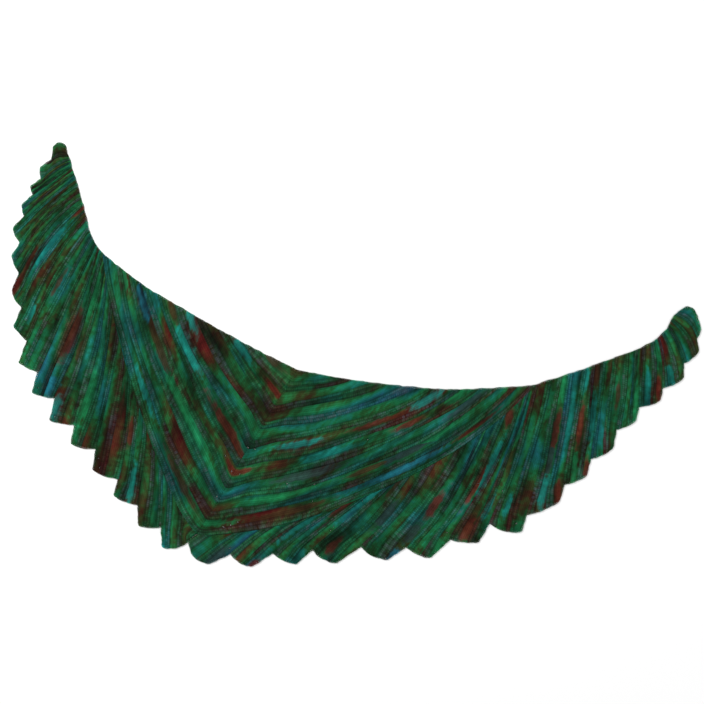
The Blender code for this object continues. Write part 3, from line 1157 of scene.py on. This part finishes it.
# %% The wool material
def wool(name, bump_distance, light):
    """Matt variegated wool that reads the stitch, yarn and dye attributes, with painted shade in
    the stitches' hollows and painted highlights on their tops. light paints the whole colour
    lighter.
    """
    material = bpy.data.materials.new(name)
    material.use_nodes = True
    tree = material.node_tree
    shader = tree.nodes["Principled BSDF"]
    numbers, yarn, paint = (
        add(tree, "ShaderNodeAttribute", attribute_name=label)
        for label in ("stitch", "yarn", "dye")
    )
    place = out(tree.nodes.new("ShaderNodeTexCoord"), "Object")
    dye = add(tree, "ShaderNodeGroup", node_tree=DYE_GROUP)
    for label, wire in (
        ("Stitch", out(numbers, "Vector")),
        ("Yarn", out(yarn, "Fac")),
        ("Pool", out(paint, "Color")),
        ("Pool Strength", out(paint, "Alpha")),
    ):
        feed(tree, dye.inputs[label], wire)
    relief = add(tree, "ShaderNodeGroup", node_tree=STITCH_GROUP)
    feed(tree, relief.inputs["Stitch"], out(numbers, "Vector"))
    feed(tree, relief.inputs["Place"], place)
    height = out(relief, "Height")

    # The dye is darkened by the painted shade of the welt's valleys, then by painted shade in the
    # stitches' hollows, with a painted highlight on their tops. light paints it all lighter.
    colour = shaded(tree, out(dye, "Color"), out(dye, "Painted Valley Shade"))
    painted_relief_shade = spread(tree, height, 0.35, 1.4, 0.65 * light, 1.25 * light)
    bump = add(
        tree, "ShaderNodeBump", {"Strength": 0.8, "Distance": bump_distance, "Height": height}
    )
    for label, value in (
        ("Base Color", shaded(tree, colour, painted_relief_shade)),
        ("Normal", out(bump, "Normal")),
        ("Roughness", spread(tree, height, 0.3, 1.6, 0.98, 0.86)),
        ("Specular IOR Level", 0.09),
        ("Sheen Weight", 0.025),
        ("Sheen Roughness", 0.5),
        ("Sheen Tint", (0.5, 0.75, 0.7, 1)),
    ):
        feed(tree, shader.inputs[label], value)
    return material


WOOL = wool("Variegated wool", 0.7 * MM, 1.0)
# The chain's copy of the wool is painted 1.9 times as light, against the shade on the chain's sides
PAINTED_LIGHTER_EDGE_WOOL = wool("Variegated wool of the edge, painted lighter", 0.5 * MM, 1.9)
print("materials:", WOOL.name, "and", PAINTED_LIGHTER_EDGE_WOOL.name)

# %% Lifting the sections
SECTIONS = {}
for name, source in SHELLS.items():
    mesh = with_nodes(name + "_knit", source, RELIEF, {"Wool": WOOL})
    section = bpy.data.objects.new(name + "_knit", mesh)
    scene.collection.objects.link(section)
    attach(section, "root")
    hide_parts(name)
    SECTIONS[name] = section
    print(section.name, len(mesh.polygons), "faces")

# %% [markdown]
# ## The bound-off edge
# All round the shawl the last stitches are bound off in a chain. Its loops lie one in the next and
# give the outline its small even notches. Geometry Nodes walk along the outline, set one oval loop
# at each stitch and turn it along the way.

# %% The outline of each section
EDGE_HEIGHT = 1.7 * MM  # the chain's, about half the cloth's thickness


def edge_path(name, made):
    """A section's free edge, in order, as places in the row tables."""
    outer = [made.points[first] for first, _ in made.ends]
    inner = [made.points[last] for _, last in made.ends]
    if name == "left_wing":
        until = ends_at_the_neck(LEFT_WING).count(True) + 1
    elif name == "right_wing":
        until = ends_at_the_neck(RIGHT_WING).count(True) + 1
    else:
        return inner
    first_row = [made.points[v] for v in range(made.ends[0][0] + 1, made.ends[0][1])]
    return outer[::-1] + first_row + inner[:until]


def edge_curve(name, made):
    """The free edge as a curve at the chain's height."""
    places = edge_path(name, made)
    curve = bpy.data.curves.new(name + "_outline", "CURVE")
    curve.dimensions = "3D"
    line = curve.splines.new("POLY")
    line.points.add(len(places) - 1)
    for point, place in zip(line.points, places):
        x, y = (place - np.array(MIDDLE)) * MM
        point.co = (x, y, EDGE_HEIGHT, 1)
    return curve


OUTLINES = {name: edge_curve(name, made) for name, made in LATTICES.items()}
print("outline points:", {name: len(c.splines[0].points) for name, c in OUTLINES.items()})


# %% The chain tree
def chain_tree():
    """Oval loops of yarn, one in the next, along a curve."""
    tree, given, result = new_tree(
        "Bound-off chain",
        "GeometryNodeTree",
        [
            ("Geometry", "Geometry", None),
            ("Spacing", "Float", 4.6 * MM),
            ("Loop Length", "Float", 6.4 * MM),
            ("Loop Width", "Float", 3.4 * MM),
            ("Yarn", "Float", 0.85 * MM),
            ("Tilt", "Float", 0.14),
            ("Waver", "Float", 4.8 * MM),
            ("Wool", "Material", None),
        ],
        [("Geometry", "Geometry")],
    )
    walk = add(tree, "GeometryNodeCurveToPoints", mode="LENGTH")
    feed(tree, walk.inputs["Curve"], given["Geometry"])
    feed(tree, walk.inputs["Length"], given["Spacing"])

    # One loop: an oval curve with a thread round it
    circle = "GeometryNodeCurvePrimitiveCircle"
    oval = out(add(tree, circle, {"Resolution": 10, "Radius": 0.5}), "Curve")
    thread = out(add(tree, circle, {"Resolution": 5, "Radius": given["Yarn"]}), "Curve")
    size = combine(tree, given["Loop Length"], given["Loop Width"], 1.0)
    oval = out(add(tree, "GeometryNodeTransform", {"Geometry": oval, "Scale": size}))
    inputs = {"Curve": oval, "Profile Curve": thread}
    loop = out(add(tree, "GeometryNodeCurveToMesh", inputs))

    # Each loop points along the outline and leans a little
    point_on = add(tree, "FunctionNodeAlignRotationToVector", axis="X", pivot_axis="Z")
    feed(tree, point_on.inputs["Vector"], out(walk, "Tangent"))
    inputs = {"Min": (-0.12, 0.0, -0.16), "Max": (0.12, 0.0, 0.16), "Seed": 5}
    random = add(tree, "FunctionNodeRandomValue", data_type="FLOAT_VECTOR")
    for label, value in inputs.items():
        feed(tree, random.inputs[label], value)
    turn_x, _, turn_z = separate(tree, out(random))
    lean = combine(tree, turn_x, given["Tilt"], turn_z)
    euler = out(add(tree, "FunctionNodeEulerToRotation", {0: lean}))
    inputs = {"Rotation": out(point_on, "Rotation"), "Rotate By": euler}
    turned = out(add(tree, "FunctionNodeRotateRotation", inputs, rotation_space="LOCAL"))

    inputs = {"Points": out(walk, "Points"), "Instance": loop, "Rotation": turned}
    loops = out(add(tree, "GeometryNodeInstanceOnPoints", inputs))
    x, y, _ = separate(tree, out(tree.nodes.new("GeometryNodeInputPosition")))
    sway_x, sway_y = swayed(tree, combine(tree, x, y, 0), 65.0, given["Waver"])
    moved_and_dyed(tree, loops, combine(tree, sway_x, sway_y, 0), given, result)
    return tree


CHAIN = chain_tree()
print("chain tree:", len(CHAIN.nodes), "nodes")

# %% Chains along the edges
def dyed_like(mesh, cloth):
    """Gives each point of a mesh the yarn and dye of the nearest point of the cloth."""
    tree = KDTree(len(cloth.vertices))
    for vertex in cloth.vertices:
        tree.insert(vertex.co, vertex.index)
    tree.balance()
    found = [tree.find(vertex.co)[1] for vertex in mesh.vertices]
    for label, kind, value in POINT_DATA:
        source = cloth.attributes[label].data
        target = mesh.attributes.new(label, kind, "POINT").data
        for place, number in zip(target, found):
            setattr(place, value, getattr(source[number], value))


for name, outline in OUTLINES.items():
    # The chains use the copy of the wool that is painted lighter
    mesh = with_nodes(name + "_edge", outline, CHAIN, {"Wool": PAINTED_LIGHTER_EDGE_WOOL})
    tidied(mesh)
    dyed_like(mesh, SECTIONS[name].data)
    chain = bpy.data.objects.new(name + "_edge", mesh)
    scene.collection.objects.link(chain)
    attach(chain, "root")
    print(chain.name, len(mesh.polygons), "faces, lowest", min(v.co.z for v in mesh.vertices))

# %% [markdown]
# ## What the cloth is
# Each section is a sheet that lies on the floor. The size it was knitted to is listed, and since
# none is a rectangle, its flat area too.

# %% The sheets' knitted sizes
FLAT = {
    "left_wing": ((0.315, 0.91), 0.1222),
    "centre_left": ((0.407, 0.585), 0.1041),
    "centre_right": ((0.345, 0.707), 0.12),
    "right_wing": ((0.32, 1.205), 0.1555),
}
for name, (flat, area) in FLAT.items():
    print(name, "is", flat[0], "by", flat[1], "m,", area, "square metres")
